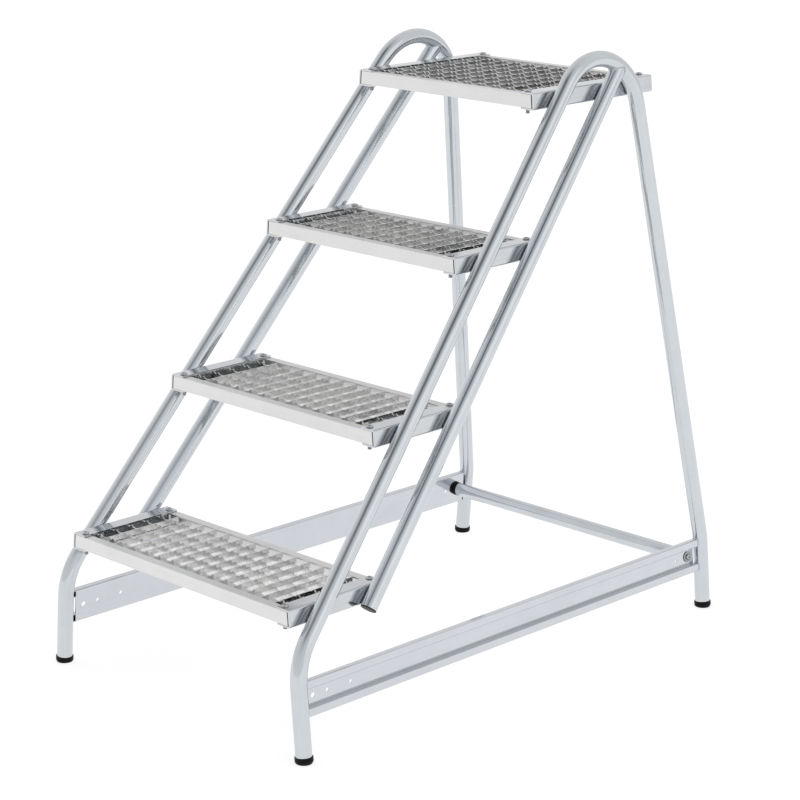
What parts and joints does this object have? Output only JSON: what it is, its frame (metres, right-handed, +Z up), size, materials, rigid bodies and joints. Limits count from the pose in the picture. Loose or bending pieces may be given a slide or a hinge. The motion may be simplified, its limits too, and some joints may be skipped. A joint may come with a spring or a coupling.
{
  "type": "ladder stand",
  "caption": "Metal ladder stand with open-grating treads and a platform between two leaning bent-tube side frames, flanged base rails and a rear cross tube.",
  "frame": {"origin": "on the floor, midway between the side frames and midway between the front and rear legs", "axes": "+X to the right across the treads, +Y in the climbing direction, from the front legs to the rear legs, +Z up"},
  "size_m": [0.6564, 1.051, 1.0559],
  "materials": {
    "tube_zinc": "bright zinc plate",
    "rail_zinc": "bright zinc plate",
    "channel_zinc": "bright zinc plate",
    "edge_bar_zinc": "pale satin zinc",
    "grating_zinc": "dull galvanised",
    "bolt_zinc": "dull zinc",
    "washer_zinc": "dark zinc",
    "black_plastic": "fine grained"
  },
  "bodies": {
    "root": {"stile_tube_right": "tube_zinc", "inner_stile_right": "tube_zinc", "inner_stile_plug_right": "black_plastic", "base_rail_right": "rail_zinc", "foot_front_right": "black_plastic", "foot_rear_right": "black_plastic", "cross_bolt_right": "bolt_zinc", "cross_washer_right": "washer_zinc", "cross_tube_collar_right": "black_plastic", "stile_tube_left": "tube_zinc", "inner_stile_left": "tube_zinc", "inner_stile_plug_left": "black_plastic", "base_rail_left": "rail_zinc", "foot_front_left": "black_plastic", "foot_rear_left": "black_plastic", "cross_bolt_left": "bolt_zinc", "cross_washer_left": "washer_zinc", "cross_tube_collar_left": "black_plastic", "rear_cross_tube": "tube_zinc", "tread1_channel_right": "channel_zinc", "tread1_channel_left": "channel_zinc", "tread1_front_bar": "edge_bar_zinc", "tread1_rear_bar": "edge_bar_zinc", "tread1_grating": "grating_zinc", "tread1_bolt_front_right": "bolt_zinc", "tread1_bolt_rear_right": "bolt_zinc", "tread1_bolt_front_left": "bolt_zinc", "tread1_bolt_rear_left": "bolt_zinc", "tread2_channel_right": "channel_zinc", "tread2_channel_left": "channel_zinc", "tread2_front_bar": "edge_bar_zinc", "tread2_rear_bar": "edge_bar_zinc", "tread2_grating": "grating_zinc", "tread2_bolt_front_right": "bolt_zinc", "tread2_bolt_rear_right": "bolt_zinc", "tread2_bolt_front_left": "bolt_zinc", "tread2_bolt_rear_left": "bolt_zinc", "tread3_channel_right": "channel_zinc", "tread3_channel_left": "channel_zinc", "tread3_front_bar": "edge_bar_zinc", "tread3_rear_bar": "edge_bar_zinc", "tread3_grating": "grating_zinc", "tread3_bolt_front_right": "bolt_zinc", "tread3_bolt_rear_right": "bolt_zinc", "tread3_bolt_front_left": "bolt_zinc", "tread3_bolt_rear_left": "bolt_zinc", "platform_channel_right": "channel_zinc", "platform_channel_left": "channel_zinc", "platform_front_bar": "edge_bar_zinc", "platform_rear_bar": "edge_bar_zinc", "platform_grating": "grating_zinc", "platform_bolt_front_right": "bolt_zinc", "platform_bolt_rear_right": "bolt_zinc", "platform_bolt_front_left": "bolt_zinc", "platform_bolt_rear_left": "bolt_zinc"}
  },
  "joints": []
}
